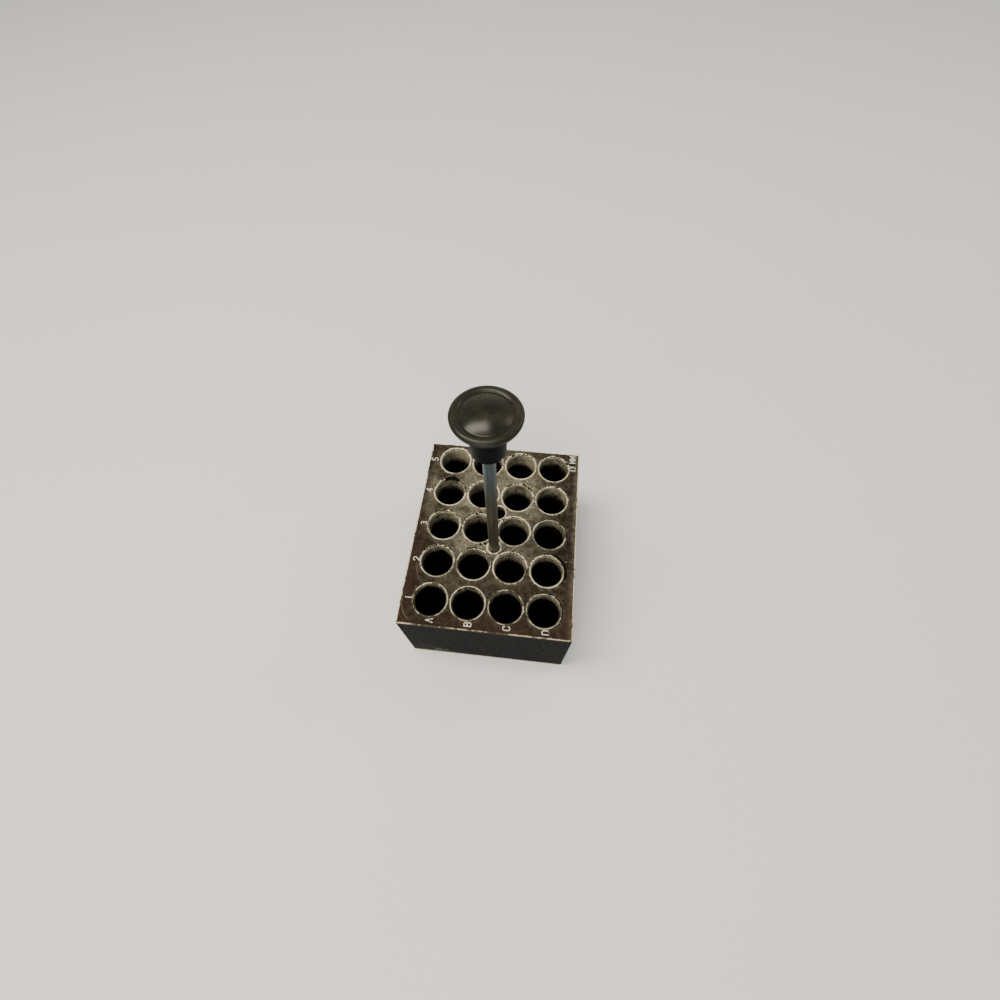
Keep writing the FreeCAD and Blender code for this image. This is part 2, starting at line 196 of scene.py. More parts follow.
# Damage to the mouths: well, kind, from and to on a clock face whose 12 points away from the
# front, mm outside the lip, and strength.
DAMAGE = [
    ("a4", "chip", 11.1, 0.9, 0.0, 1.3), ("a4", "crack", 0.8, 3.0, 0.2, 1.3),
    ("a4", "crust", 9.0, 11.2, -0.3, 1.0), ("a4", "crack", 9.4, 11.2, 0.5, 0.8),
    ("c4", "crack", 10.2, 2.0, 0.25, 1.2),
    ("c4", "crust", 8.2, 9.3, 0.2, 1.0), ("c4", "crust", 2.8, 4.0, 0.1, 1.0),
    ("a3", "crack", 10.4, 1.9, 0.35, 1.0), ("b3", "crust", 8.6, 12.0, 0.3, 1.0),
    ("b3", "crack", 10.0, 12.6, 0.5, 0.7), ("c3", "chip", 10.2, 10.6, 0.0, 0.6),
    ("c5", "crust", 10.6, 1.4, 0.35, 1.0), ("c5", "chip", 10.6, 10.9, 0.1, 0.5),
    ("d5", "crust", 9.6, 2.4, 0.1, 0.8), ("d5", "crack", 10.5, 1.8, 0.4, 0.6),
    ("d4", "crust", 9.8, 2.8, 0.4, 0.9), ("d3", "crack", 10.6, 3.4, 0.25, 0.7),
    ("b2", "crust", 9.6, 2.0, 0.2, 0.8), ("b2", "crack", 10.2, 1.6, 0.4, 0.8),
    ("a2", "crust", 7.8, 10.4, 0.35, 0.7), ("a2", "crack", 10.4, 1.4, 0.1, 0.6),
    ("c2", "crust", 9.6, 1.8, 0.3, 0.8), ("c2", "crack", 3.0, 4.1, 0.2, 1.4),
    ("d2", "crescent", 12.2, 4.2, 0.75, 1.2), ("d2", "crust", 9.0, 11.8, 0.35, 0.8),
    ("d1", "crescent", 0.8, 4.2, 0.35, 0.7), ("d1", "crack", 11.0, 1.4, 0.45, 0.9),
    ("d1", "crust", 3.9, 5.4, 0.6, 0.7), ("b1", "crack", 10.4, 1.8, -0.45, 0.8),
    ("a1", "crust", 9.6, 12.0, 0.2, 0.4), ("c1", "crust", 1.6, 3.8, 0.2, 0.6),
    ("b5", "crust", 1.0, 4.0, 0.2, 0.8), ("b4", "crust", 8.4, 11.5, 0.3, 0.8),
]


def clock_gate(hours, start, end, soft=0.25):
    """1 between two times on the clock face, 0 outside them."""
    length = (end - start) % 12
    since = (hours - start + soft) % 12
    return step(since, 0, 2 * soft) * (1 - step(since, length, length + 2 * soft))


class Well:
    """A round hole in the top face, with the wear around its mouth."""

    def __init__(self, name, x, y, radius, bevel, depth, segments=RIM_POINTS, line=WELL_LINE):
        self.x, self.y, self.radius, self.bevel = x, y, radius, bevel
        self.wall_bottom, self.line = depth, line
        self.lip = radius + bevel
        self.angles = np.arange(segments) * TAU / segments
        self.look = WELL_LOOKS[name]
        self.damage = [row[1:] for row in DAMAGE if row[0] == name]

    def hours(self, angle):
        """Angles as times on the clock face."""
        return (3 - angle * 12 / TAU) % 12

    def chip(self, angle):
        """How far the lip is broken away at each angle, from 0 to 1."""
        jag = grain(angle * 8, angle * 0, self.x + 3 * self.y)
        parts = [clock_gate(self.hours(angle), start, end, 0.12) * strength * (0.25 + 0.75 * jag)
                 for kind, start, end, _, strength in self.damage if kind == "chip"]
        return sum(parts) if parts else angle * 0

    def wobble(self, angle):
        """The lip's departure from a true circle in mm, away from the centre."""
        worn = grain(angle * 9, angle * 0 + self.y, self.x) - 0.5
        fine = grain(angle * 30, angle * 0 + self.y, self.x + 5) - 0.5
        size = min(1.0, self.bevel / 0.7)
        return (0.14 * worn + 0.08 * fine) * size + 1.15 * self.chip(angle)

    def lip_radius(self, angle):
        return self.lip + self.wobble(angle)

    def state(self, x, y, beyond):
        """Wear and drop at points, beyond mm outside the lip."""
        angle = np.arctan2(y - self.y, x - self.x) % TAU
        hours = self.hours(angle)
        far = np.clip(0.25 + np.sin(angle), 0, 1)  # the side away from the front, where the marks are strongest
        rim, crusty, _, _ = self.look
        fleck = grain(x * 2.6, y * 2.6, 1)
        coarse = grain(x * 1.1, y * 1.1, 2)
        uneven = grain(angle * 2.2, angle * 0 + self.y, self.x + 11)
        # Bare metal on the lip, at the bevel's foot, and in crumbs outside the lip.
        bare = rim * bump(beyond, 0.03, self.line) * (0.45 + 0.55 * step(uneven, 0.2, 0.6))
        bare += 0.6 * rim * far * bump(beyond, -self.bevel, 0.16) * step(fleck, 0.2, 0.6)
        bare += crusty**2 * far * bump(beyond, 0.45, 0.45) * step(fleck, 0.4, 0.75)
        bare += 0.4 * crusty * bump(beyond, 0.3, 0.45) * step(coarse, 0.4, 0.75)
        # Crust just inside and just outside the lip.
        crust = 0.7 * crusty * far * bump(beyond, -0.3, 0.35) * step(fleck, 0.3, 0.6)
        crust += 0.65 * crusty * far * bump(beyond, 0.75, 0.35) * step(coarse, 0.35, 0.65)
        drop = x * 0
        for kind, start, end, offset, strength in self.damage:
            gate = clock_gate(hours, start, end)
            if kind == "crack":
                line = bump(beyond, offset + 0.2 * (coarse - 0.5), 0.27)
                gaps = step(grain(angle * 10, angle * 0, offset + self.x), 0.25, 0.45)
                mark = 1.3 * gate * line * gaps
                drop += 0.2 * mark * strength
            elif kind == "crescent":
                middle = clock_gate(hours, start, end, 1.0)
                mark = middle * bump(beyond, offset, 0.15 + 0.45 * middle * strength)
                drop += 0.3 * mark
            elif kind == "crust":
                band = bump(beyond, offset, 0.45)
                mark = gate * band * step(fleck, 0.5, 0.68)
                bare += 0.7 * gate * band * step(1 - fleck, 0.55, 0.75) * strength
                drop += 0.07 * mark
            else:
                broken = self.chip(angle)
                mark = step(broken, 0.1, 0.3) * (1 - step(beyond, 1.2 * broken, 1.2 * broken + 0.6))
                mark *= 0.7 + 0.3 * step(coarse, 0.25, 0.6)
                drop += 0.4 * mark * step(beyond, 0, 0.3)
            crust = np.maximum(crust, mark * min(strength, 1))
        wear = np.zeros((len(x), WEAR_KINDS))
        wear[:, BARE] = np.clip(bare, 0, 1) * (1 - 0.9 * np.clip(crust, 0, 1))
        wear[:, CRUST_AND_SHADE] = crust
        inner = step(-beyond, -0.05, 0.12)
        wear[:, PALE] = (0.08 + 0.8 * crusty**1.5) * (0.45 + 0.55 * far) * inner * (0.5 + 0.7 * fleck)
        return wear, drop

    def ring(self, beyond, z):
        """Points around the hole with their wear, beyond mm outside the lip."""
        inward = np.clip(-beyond / self.bevel, 0, 1)
        reach = self.lip + beyond + self.wobble(self.angles) * (1 - inward)
        x, y = self.x + reach * np.cos(self.angles), self.y + reach * np.sin(self.angles)
        wear, drop = self.state(x, y, np.full(len(x), float(beyond)))
        return np.column_stack([x, y, z - drop * (1 - 0.8 * inward)]), wear

    def wall(self, depth, taper=1.0):
        """A ring of the wall, depth mm under the top face."""
        ripple = self.look[3] * math.sin(depth * TAU / TOOL_RING_PITCH) * math.exp(-depth / 5)
        reach = (self.radius - abs(ripple)) * taper
        x, y = self.x + reach * np.cos(self.angles), self.y + reach * np.sin(self.angles)
        wear = np.zeros((len(x), WEAR_KINDS))
        # Painted light: the far and right-hand walls, which face the lamps, get more of the pale colour
        # and brighter tool rings.
        side = 0.55 + 0.45 * np.clip(0.3 + np.sin(self.angles + 0.35), 0, 1)
        stain = grain(self.angles * 4, self.angles * 0 + depth / 2.5, self.x + self.y)
        # Painted light and shade: the wall is pale down to a depth set by the well's look, a painted lit
        # band ending like the shadow of the near rim, and painted dark below it as shade deep in the
        # hole; the pale is partly worn coating and the dark partly the black anodising.
        end = 1.5 + 8.5 * self.look[2]
        low = 1 - step(depth + 2.5 * (stain - 0.5), 0.65 * end, 1.25 * end)
        wear[:, PALE] = (0.3 + 0.7 * self.look[2]) * side * low * (0.3 + 1.0 * stain)
        wear[:, BARE] = 0.75 * max(0, ripple) / 0.09 * side * low
        wear[:, CRUST_AND_SHADE] = 0.6 * (1 - low) + 9 * max(0, -ripple) * side
        return np.column_stack([x, y, np.full(len(x), TOP - depth)]), wear


def mount_well(name):
    mount = MOUNTS[name]
    x, y, z = millimetres(mount["pos_m"])
    size = mount["dims"]
    bevel = TOP - (z + size["length_mm"] / 2)
    depth = TOP - (z - size["length_mm"] / 2)
    return Well(name.replace("well_", ""), x, y, size["r_mm"], bevel, depth)


WELLS = [mount_well(name) for name in MOUNTS if name.startswith("well_")]
THERMOMETER = mount_well("thermometer_well")
HOLE_CLEARANCE, HOLE_BEVEL, HOLE_DEPTH = 0.05, 0.6, 15.0
TAPPED = Well("tapped", ROD_X, ROD_Y, ROD_RADIUS + HOLE_CLEARANCE, HOLE_BEVEL, HOLE_DEPTH,
              TAPPED_POINTS, TAPPED_LINE)
HOLES = WELLS + [THERMOMETER, TAPPED]


DRILL_POINT = 118
# The mouth's bevel, as shares of its width and depth.
BEVEL_PROFILE = ((0, 0), (0.1, 0.04), (0.3, 0.24), (0.6, 0.56), (0.85, 0.84), (1, 1))


def add_hole(shell, well):
    """The mouth, wall and bottom of a hole."""
    rings = [well.ring(-well.bevel * part, TOP - well.bevel * sunk)
             for part, sunk in BEVEL_PROFILE]
    fine = np.arange(well.bevel + 0.25, 5.6, 0.31)  # close enough to show the tool's rings
    deep = np.linspace(6.2, well.wall_bottom, 9)
    rings += [well.wall(depth) for depth in (*fine, *deep)]
    if well in WELLS:  # a round bottom
        for turn in (15, 30, 45, 60, 72, 83):
            rise = math.sin(math.radians(turn)) * well.radius
            rings.append(well.wall(well.wall_bottom + rise, math.cos(math.radians(turn))))
    else:  # a drill's point
        point = well.radius / math.tan(math.radians(DRILL_POINT / 2))
        rings.append(well.wall(well.wall_bottom + 0.95 * point, 0.05))
    shell.loft([ring for ring, _ in rings], [wear for _, wear in rings], close_end=True)


# ------------------------------------------------------------ outside of the block

CORNER_ROUND, CORNER_POINTS = 0.45, 6
SIDE_DEPTHS = (1.2, 2.5, 4, 6, 9, 13, 18, 24, 30, 36, 41, 45, 47.5, 49)
# Brightness of each top edge's wear, and how broken it is.
EDGE_WEAR = {"front": (0.62, 0.55), "right": (0.95, 0.33), "back": (0.80, 0.36), "left": (0.80, 0.36)}


def outline(inset):
    """The block's outline, each point moved in by its own inset, with rounded corners."""
    half_x, half_y = BLOCK_HIGH[0] - CORNER_ROUND, BLOCK_HIGH[1] - CORNER_ROUND
    runs = []
    for quarter, (sign_x, sign_y) in enumerate(((1, -1), (1, 1), (-1, 1), (-1, -1))):
        turns = np.linspace(quarter - 1, quarter, CORNER_POINTS) * math.pi / 2
        runs.append(np.column_stack([np.full(CORNER_POINTS, sign_x * half_x),
                                     np.full(CORNER_POINTS, sign_y * half_y),
                                     np.cos(turns), np.sin(turns)]))
        length = 2 * (half_y if quarter % 2 == 0 else half_x)
        along = np.linspace(0, 1, int(length) + 1)[1:-1, None]
        start = runs[-1][-1]
        forward = length * np.array(((0, 1), (-1, 0), (0, -1), (1, 0))[quarter])
        runs.append(np.column_stack([start[None, :2] + along * forward,
                                     np.repeat(start[None, 2:], len(along), 0)]))
    base = np.vstack(runs)
    reach = CORNER_ROUND - np.broadcast_to(inset, len(base))
    return base[:, :2] + base[:, 2:] * reach[:, None], base[:, 2:]


def edge_wear(x, y, normal):
    """Brightness of the worn edge at points around the outline."""
    strength = x * 0
    patches = 0.5 * grain((x + y) / 7, x * 0, 3) + 0.5 * grain((x + y) * 1.3, x * 0, 4)
    for name, weight in (("front", -normal[:, 1]), ("right", normal[:, 0]),
                         ("back", normal[:, 1]), ("left", -normal[:, 0])):
        bright, broken = EDGE_WEAR[name]
        strength += np.clip(weight, 0, 1) ** 2 * bright * step(patches, broken - 0.14, broken + 0.12)
    corner = bump(x, -38, 8) * bump(y, -47.6, 3)
    worn_right = bump(x, 38, 3) * bump(y, -30, 22)
    return np.clip(strength + 0.8 * corner + 0.35 * worn_right, 0, 1)


def add_outside(shell):
    """Sides with worn edges, and the underside. Returns the outline of the top face."""
    flat, normal = outline(0.0)
    x, y = flat.T
    along = x + 2 * y
    ding = 0.16 * step(grain(along * 0.6, x * 0.1, 11), 0.66, 0.95)
    ding += 0.05 * grain(along * 1.3, along * 0, 12)
    rings, wears = [], []
    # Down the side: how far in, what share of the dings, and height.
    profile = [(0.3, 1.0, TOP), (0.13, 0.75, TOP - 0.05), (0.03, 0.45, TOP - 0.17),
               (0.0, 0.15, TOP - 0.34)]
    profile += [(0.0, 0.0, TOP - depth) for depth in SIDE_DEPTHS]
    profile += [(0.0, 0.0, 0.34), (0.06, 0.4, 0.1), (0.3, 0.8, 0.0)]
    for inset, share, z in profile:
        spots, _ = outline(inset + share * ding)
        wear = np.zeros((len(spots), WEAR_KINDS))
        if z > TOP - 0.2:
            wear[:, BARE] = edge_wear(x, y, normal)
            wear[:, WARM] = patches_at(WARM_PATCHES, x, y)
        elif z < 0.35:
            wear[:, BARE] = 0.5 * step(grain(along * 0.7, along * 0, 8), 0.35, 0.7)
        scuffs = bump(x, -26, 9) * step(grain(x / 2.5, x * 0 + z / 1.5, 14), 0.5, 0.8)
        edges = 0.75 * bump(z, 0.3, 1.3) + 0.2 * bump(z, TOP, 1.2)
        wear[:, PALE] = edges + 0.3 * scuffs * bump(z, 4, 5)
        rings.append(np.column_stack([spots, np.full(len(spots), z)]))
        wears.append(wear)
    shell.loft(rings, wears, close_end=True)
    return rings[0], wears[0]


# ------------------------------------------------------------ top face

# Pits and specks in the face: place, radius, and which wear they show.
PITS = [
    (-15.9, 0.7, 0.5, CRUST_AND_SHADE), (-15.1, -2.3, 0.45, CRUST_AND_SHADE), (-4.1, -6.7, 1.0, CRUST_AND_SHADE),
    (-6.2, -7.2, 0.8, CRUST_AND_SHADE), (35.0, 15.8, 0.3, CRUST_AND_SHADE), (34.7, 17.0, 0.25, CRUST_AND_SHADE),
    (15.7, -34.7, 0.35, CRUST_AND_SHADE), (16.9, -39.0, 0.35, CRUST_AND_SHADE), (16.6, -36.8, 0.3, BARE),
    (15.9, -38.2, 0.3, BARE), (-15.6, 20.6, 0.3, BARE), (33.9, -12.0, 0.25, BARE),
]
# Pale patches of the worn coating: centre, spread across and along, strength.
PALE_PATCHES = [
    (3, 24, 14, 22, 0.80), (-16.5, 25, 6, 17, 1.0), (-16.5, 10.5, 4.5, 4.5, 1.3), (16, -9, 9, 9, 0.35),
    (17, 10, 7, 9, 0.30), (-16, -8, 8, 8, 0.55), (-16.5, -26, 7, 4, 0.10), (0, -7, 9, 7, 0.75),
    (17, 29, 8, 12, 0.25), (0, -26, 26, 2.5, 0.10), (-33, 22, 3, 16, 0.45), (37.4, 0, 1.3, 60, 0.45),
]
WARM_PATCHES = [
    (0, -46, 40, 5, 0.9), (-36, -20, 4, 30, 0.9), (36, -38, 3, 12, 1.0), (-34, 20, 4, 20, 0.3),
    (0, 46, 36, 3, 0.35), (36, 10, 4, 34, 0.25), (0, -27, 30, 4, 0.35),
]


def patches_at(patches, x, y):
    total = x * 0
    for middle_x, middle_y, wide, deep, strength in patches:
        total = total + strength * bump(x, middle_x, wide) * bump(y, middle_y, deep)
    return np.clip(total, 0, 1)


WELL_REACH = 2.2


def face_state(x, y):
    """Wear and drop of the top face, away from its outer edge."""
    wear = np.zeros((len(x), WEAR_KINDS))
    drop = x * 0
    for well in HOLES:
        beyond = np.hypot(x - well.x, y - well.y) - well.lip
        near = beyond < WELL_REACH
        if near.any():
            local, sunk = well.state(x[near], y[near], beyond[near])
            wear[near] = np.maximum(wear[near], local)
            drop[near] = np.maximum(drop[near], sunk)
            halo = bump(beyond[near], 0, 1.1) * (0.12 + 0.3 * well.look[1])
            wear[near, PALE] = np.maximum(wear[near, PALE], halo * grain(x[near], y[near], 9))
    for pit_x, pit_y, radius, kind in PITS:
        mark = bump(np.hypot(x - pit_x, y - pit_y), 0, 0.8 * radius)
        wear[:, kind] = np.maximum(wear[:, kind], mark)
        if kind == CRUST_AND_SHADE:
            wear[:, BARE] *= 1 - mark
            drop = np.maximum(drop, 0.15 * mark)
    blotch = 0.55 + 0.9 * (grain(x / 5, y / 5, 4) - 0.3)
    wear[:, PALE] = np.clip(wear[:, PALE] + patches_at(PALE_PATCHES, x, y) * blotch, 0, 1)
    wear[:, WARM] = patches_at(WARM_PATCHES, x, y)
    return wear, drop


def letter_outlines(node):
    """Closed outlines of the painted characters, as pairs of points on the paint's upper face."""
    mesh = frame["nodes"][node].data
    high = max(vertex.co.z for vertex in mesh.vertices)
    sides = set()
    for face in mesh.polygons:
        corners = [mesh.vertices[i].co for i in face.vertices]
        if min(corner.z for corner in corners) < high - 1e-5:
            continue
        ring = [(round(corner.x / MM, 3), round(corner.y / MM, 3)) for corner in corners]
        for start, end in zip(ring, ring[1:] + ring[:1]):
            if (end, start) in sides:
                sides.discard((end, start))
            else:
                sides.add((start, end))
    return sides


PAINT_NODES = ("row_numbers", "column_letters", "size_mark")
ENGRAVING_DEPTH = 0.3
GRID_PITCH, GRID_SHIFT, GRID_MARGIN = 1.05, 0.25, 0.9
WELL_LOOPS, INNER_LOOP, LETTER_GAP = (0.17, 0.34, 0.52, 0.75, 1.05), 0.62, 0.3


def beyond_lips(x, y, holes):
    """How far a point lies outside the nearest lip."""
    return min(math.hypot(x - well.x, y - well.y) - well.lip for well in holes)


def scatter(sides):
    """Points that divide the top face: rings around the holes and an uneven grid."""
    lines = np.array([start for start, _ in sides])

    def clear(x, y, gap):
        """Whether a point keeps this gap from the characters."""
        return np.hypot(lines[:, 0] - x, lines[:, 1] - y).min() > gap

    spots = []
    for well in HOLES:
        others = [other for other in HOLES if other is not well]
        for beyond in WELL_LOOPS:
            reach = well.lip_radius(well.angles) + beyond
            for x, y in zip(well.x + reach * np.cos(well.angles), well.y + reach * np.sin(well.angles)):
                if beyond_lips(x, y, others) > beyond * 0.9 + 0.05 and clear(x, y, LETTER_GAP):
                    spots.append((x, y))
    for pit_x, pit_y, radius, _ in PITS:
        for reach, count in ((0.0, 1), (0.5 * radius, 6), (radius, 9), (1.6 * radius, 12)):
            for turn in np.arange(count) * TAU / count:
                x, y = pit_x + reach * math.cos(turn), pit_y + reach * math.sin(turn)
                if beyond_lips(x, y, HOLES) > 0.15 and clear(x, y, LETTER_GAP):
                    spots.append((x, y))
    inner, _ = outline(INNER_LOOP)
    spots.extend(tuple(spot) for spot in inner if clear(*spot, LETTER_GAP))
    grid_x, grid_y = np.meshgrid(*(
        np.arange(low + GRID_MARGIN, high - GRID_MARGIN, GRID_PITCH)
        for low, high in zip(BLOCK_LOW[:2], BLOCK_HIGH[:2])))
    for x, y in zip(grid_x.ravel(), grid_y.ravel()):
        x, y = x + GRID_SHIFT * math.sin(17 * y + x), y + GRID_SHIFT * math.sin(13 * x + y)
        if beyond_lips(x, y, HOLES) > 1.0 and clear(x, y, LETTER_GAP + 0.05):
            spots.append((x, y))
    return spots


def inside_letters(x, y, sides):
    """Whether points lie inside the characters' outlines."""
    inside = np.zeros(len(x), bool)
    for (x0, y0), (x1, y1) in sides:
        if y0 != y1:
            crosses = (y0 > y) != (y1 > y)
            inside ^= crosses & (x < (x1 - x0) * (y - y0) / (y1 - y0) + x0)
    return inside


def add_top(shell, edge, edge_state):
    """The top face between its outer edge, the holes' lips and the engraved outlines."""
    points, wears, lines = [], [], []

    def add_loop(loop, wear):
        first = len(points)
        points.extend(loop.tolist())
        wears.extend(wear.tolist())
        lines.extend((first + i, first + (i + 1) % len(loop)) for i in range(len(loop)))

    add_loop(edge, edge_state)
    for well in HOLES:
        add_loop(*well.ring(0, TOP))
    sides = set().union(*(letter_outlines(node) for node in PAINT_NODES))
    spots = sorted({spot for side in sides for spot in side})
    index = {spot: len(points) + i for i, spot in enumerate(spots)}
    lines.extend((index[start], index[end]) for start, end in sides)
    loose = spots + scatter(sides)
    x, y = np.array(loose).T
    wear, drop = face_state(x, y)
    drop[:len(spots)] = 0
    points.extend(np.column_stack([x, y, TOP - drop]).tolist())
    wears.extend(wear.tolist())

    flat = [Vector(point[:2]) for point in points]
    corners, _, faces, origins, _, _ = delaunay_2d_cdt(flat, lines, [], 0, 1e-5, True)
    # Every corner of the division is one of the points given, unless two lines cross.
    kept = [points[origin[0]] if origin else (*corner, TOP) for corner, origin in zip(corners, origins)]
    state = [wears[origin[0]] if origin else [0] * WEAR_KINDS for origin in origins]
    middle = np.array([[sum(corners[i][axis] for i in face) / len(face) for axis in (0, 1)]
                       for face in faces])
    open_air = np.zeros(len(faces), bool)
    for well in HOLES:
        dx, dy = middle[:, 0] - well.x, middle[:, 1] - well.y
        angle = np.arctan2(dy, dx) % TAU
        radii = well.lip_radius(well.angles)
        lip = np.interp(angle, np.append(well.angles, TAU), np.append(radii, radii[0]))
        open_air |= np.hypot(dx, dy) < lip
    sunk = inside_letters(middle[:, 0], middle[:, 1], sides)
    first = shell.add_points(kept, np.array(state))
    floor = {}

    def lower(i):
        """The point of the engraving's floor under a point of the face."""
        if i not in floor:
            x, y, _ = kept[i]
            floor[i] = shell.add_points([(x, y, TOP - ENGRAVING_DEPTH)])
        return floor[i]

    down_sides = set()
    for face, out, down in zip(faces, open_air, sunk):
        if not out and down:
            shell.faces.append(tuple(lower(i) for i in face))
            down_sides |= set(zip(face, face[1:] + face[:1]))
    for face, out, down in zip(faces, open_air, sunk):
        if not out and not down:
            shell.faces.append(tuple(first + i for i in face))
            for start, end in zip(face, face[1:] + face[:1]):
                if (end, start) in down_sides:
                    shell.faces.append((first + end, first + start, lower(start), lower(end)))


def make_block():
    shell = Shell()
    add_top(shell, *add_outside(shell))
    for well in HOLES:
        add_hole(shell, well)
    return new_piece("worn_block", shell, "block")


# ------------------------------------------------------------ lifting handle

THREAD_PITCH, THREAD_DEPTH = 0.79375, 0.4
# One turn of the thread: share of the pitch and of the depth.
THREAD_PROFILE = ((0.0, 0.0), (0.12, 0.0), (0.5, 1.0), (0.62, 1.0))
BLOCK_THREAD, KNOB_THREAD = 12.7, 9.525
ROD_POINTS, KNOB_POINTS = 48, 128


def circle(radius, z, segments):
    """A ring of points around the handle's axis."""
    angles = np.arange(segments) * TAU / segments
    return np.column_stack([ROD_X + radius * np.cos(angles), ROD_Y + radius * np.sin(angles),
                            np.broadcast_to(z, segments)])


def threaded(low, high, segments):
    """Rings of a helical thread between two heights, each ring one step of the helix."""
    turns = np.arange(segments) / segments
    rings = []
    count = int((high - low) / THREAD_PITCH) + 2
    for turn in range(-1, count):
        for part, cut in THREAD_PROFILE:
            z = low + (turn + part + turns) * THREAD_PITCH
            fade = step(z, low, low + THREAD_PITCH) * (1 - step(z, high - THREAD_PITCH, high))
            radius = ROD_RADIUS - 0.01 - THREAD_DEPTH * cut * fade
            rings.append(circle(radius, np.clip(z, low, high), segments))
    return rings


def make_rod():
    """The rod with a helical thread at each end and fine drawing marks between them."""
    segments = ROD_POINTS
    low, high = ROD_LOW[2], ROD_HIGH[2]
    rings = [circle(ROD_RADIUS - 0.7, low, segments), circle(ROD_RADIUS - 0.42, low + 0.02, segments)]
    rings += threaded(low + 0.3, low + BLOCK_THREAD - 0.4, segments)
    plain_low, plain_high = low + BLOCK_THREAD, high - KNOB_THREAD
    angles = np.arange(segments) * TAU / segments
    for z in np.linspace(plain_low, plain_high, 120):
        dent = 0.012 * grain(angles * 3, angles * 0 + z / 3, 21)
        rings.append(circle(ROD_RADIUS - dent, z, segments))
    rings += threaded(plain_high + 0.4, high - 0.3, segments)
    rings += [circle(ROD_RADIUS - 0.42, high - 0.02, segments), circle(ROD_RADIUS - 0.7, high, segments)]
    shell = Shell()
    shell.loft([ring[::-1] for ring in rings], close_start=True, close_end=True)
    return new_piece("threaded_rod", shell, "rod", sharp=0.9, merge=1e-7)


def arc(start, end, radius, count, bulge=1):
    """Points of an arc in the half plane of radius and height, after start and up to end."""
    (r0, z0), (r1, z1) = start, end
    chord = math.hypot(r1 - r0, z1 - z0)
    rise = radius - math.sqrt(radius**2 - chord**2 / 4)
    out = (bulge * (z1 - z0) / chord, -bulge * (r1 - r0) / chord)
    middle = ((r0 + r1) / 2 - out[0] * (radius - rise), (z0 + z1) / 2 - out[1] * (radius - rise))
    turn0 = math.atan2(z0 - middle[1], r0 - middle[0])
    turn1 = math.atan2(z1 - middle[1], r1 - middle[0])
    turn1 += TAU * round((turn0 - turn1) / TAU)
    turns = [turn0 + (turn1 - turn0) * i / count for i in range(1, count + 1)]
    return [(middle[0] + radius * math.cos(turn), middle[1] + radius * math.sin(turn)) for turn in turns]


CAVITY_RADIUS = 4.0
NECK_RADIUS, NECK_LENGTH, NECK_FILLET = 6.0, 13.4, 1.2
CAP_RADIUS, UNDERSIDE_ROUND, SHOULDER_HEIGHT, SHOULDER_ROUND = 11.3, 3.0, 0.3, 1.9
CREASE_RADIUS, DOME_RISE = 8.4, 2.2


def knob_profile():
    """Radius and height of the knob's outside, from its foot to its apex."""
    foot = KNOB_LOW[2]
    underside = foot + NECK_LENGTH + NECK_FILLET
    widest = underside + UNDERSIDE_ROUND
    crease = widest + SHOULDER_HEIGHT
    points = [(CAVITY_RADIUS, foot), (5.3, foot), (5.55, foot + 0.05), (5.9, foot + 0.22),
              (NECK_RADIUS, foot + 0.55)]
    points += [(NECK_RADIUS, z) for z in np.linspace(foot + 1.5, foot + NECK_LENGTH, 8)]
    points += arc(points[-1], (NECK_RADIUS + NECK_FILLET, underside), NECK_FILLET, 8, bulge=-1)
    points += [(7.4, underside), (CAP_RADIUS - UNDERSIDE_ROUND, underside)]
    points += arc(points[-1], (CAP_RADIUS, widest), UNDERSIDE_ROUND, 12)
    shoulder = arc((CAP_RADIUS, widest), (CREASE_RADIUS, crease), SHOULDER_ROUND, 20)
    dome_round = (CREASE_RADIUS**2 + DOME_RISE**2) / (2 * DOME_RISE)
    dome = arc((CREASE_RADIUS, crease), (0.02, crease + DOME_RISE), dome_round, 40)
    # The crease itself is a small hollow between the shoulder and the dome.
    start, corner, end = (np.array(point) for point in (shoulder[-3], shoulder[-1], dome[1]))
    points += shoulder[:-3]
    for part in np.linspace(0, 1, 8):
        points.append(tuple((1 - part) ** 2 * start + 2 * part * (1 - part) * corner + part**2 * end))
    points += dome[2:]
    return points


def make_knob():
    """The moulded knob, hollow where its insert sits."""
    segments = KNOB_POINTS
    rings = [circle(radius, INSERT_TOP - drop, segments)
             for radius, drop in ((0.02, 0.0), (CAVITY_RADIUS - 0.1, 0.0), (CAVITY_RADIUS, 0.1))]
    rings += [circle(radius, z, segments) for radius, z in knob_profile()]
    shell = Shell()
    shell.loft(rings, close_start=True, close_end=True)
    return new_piece("moulded_knob", shell, "knob_body", sharp=0.7, merge=1e-6)


# ------------------------------------------------------------ materials


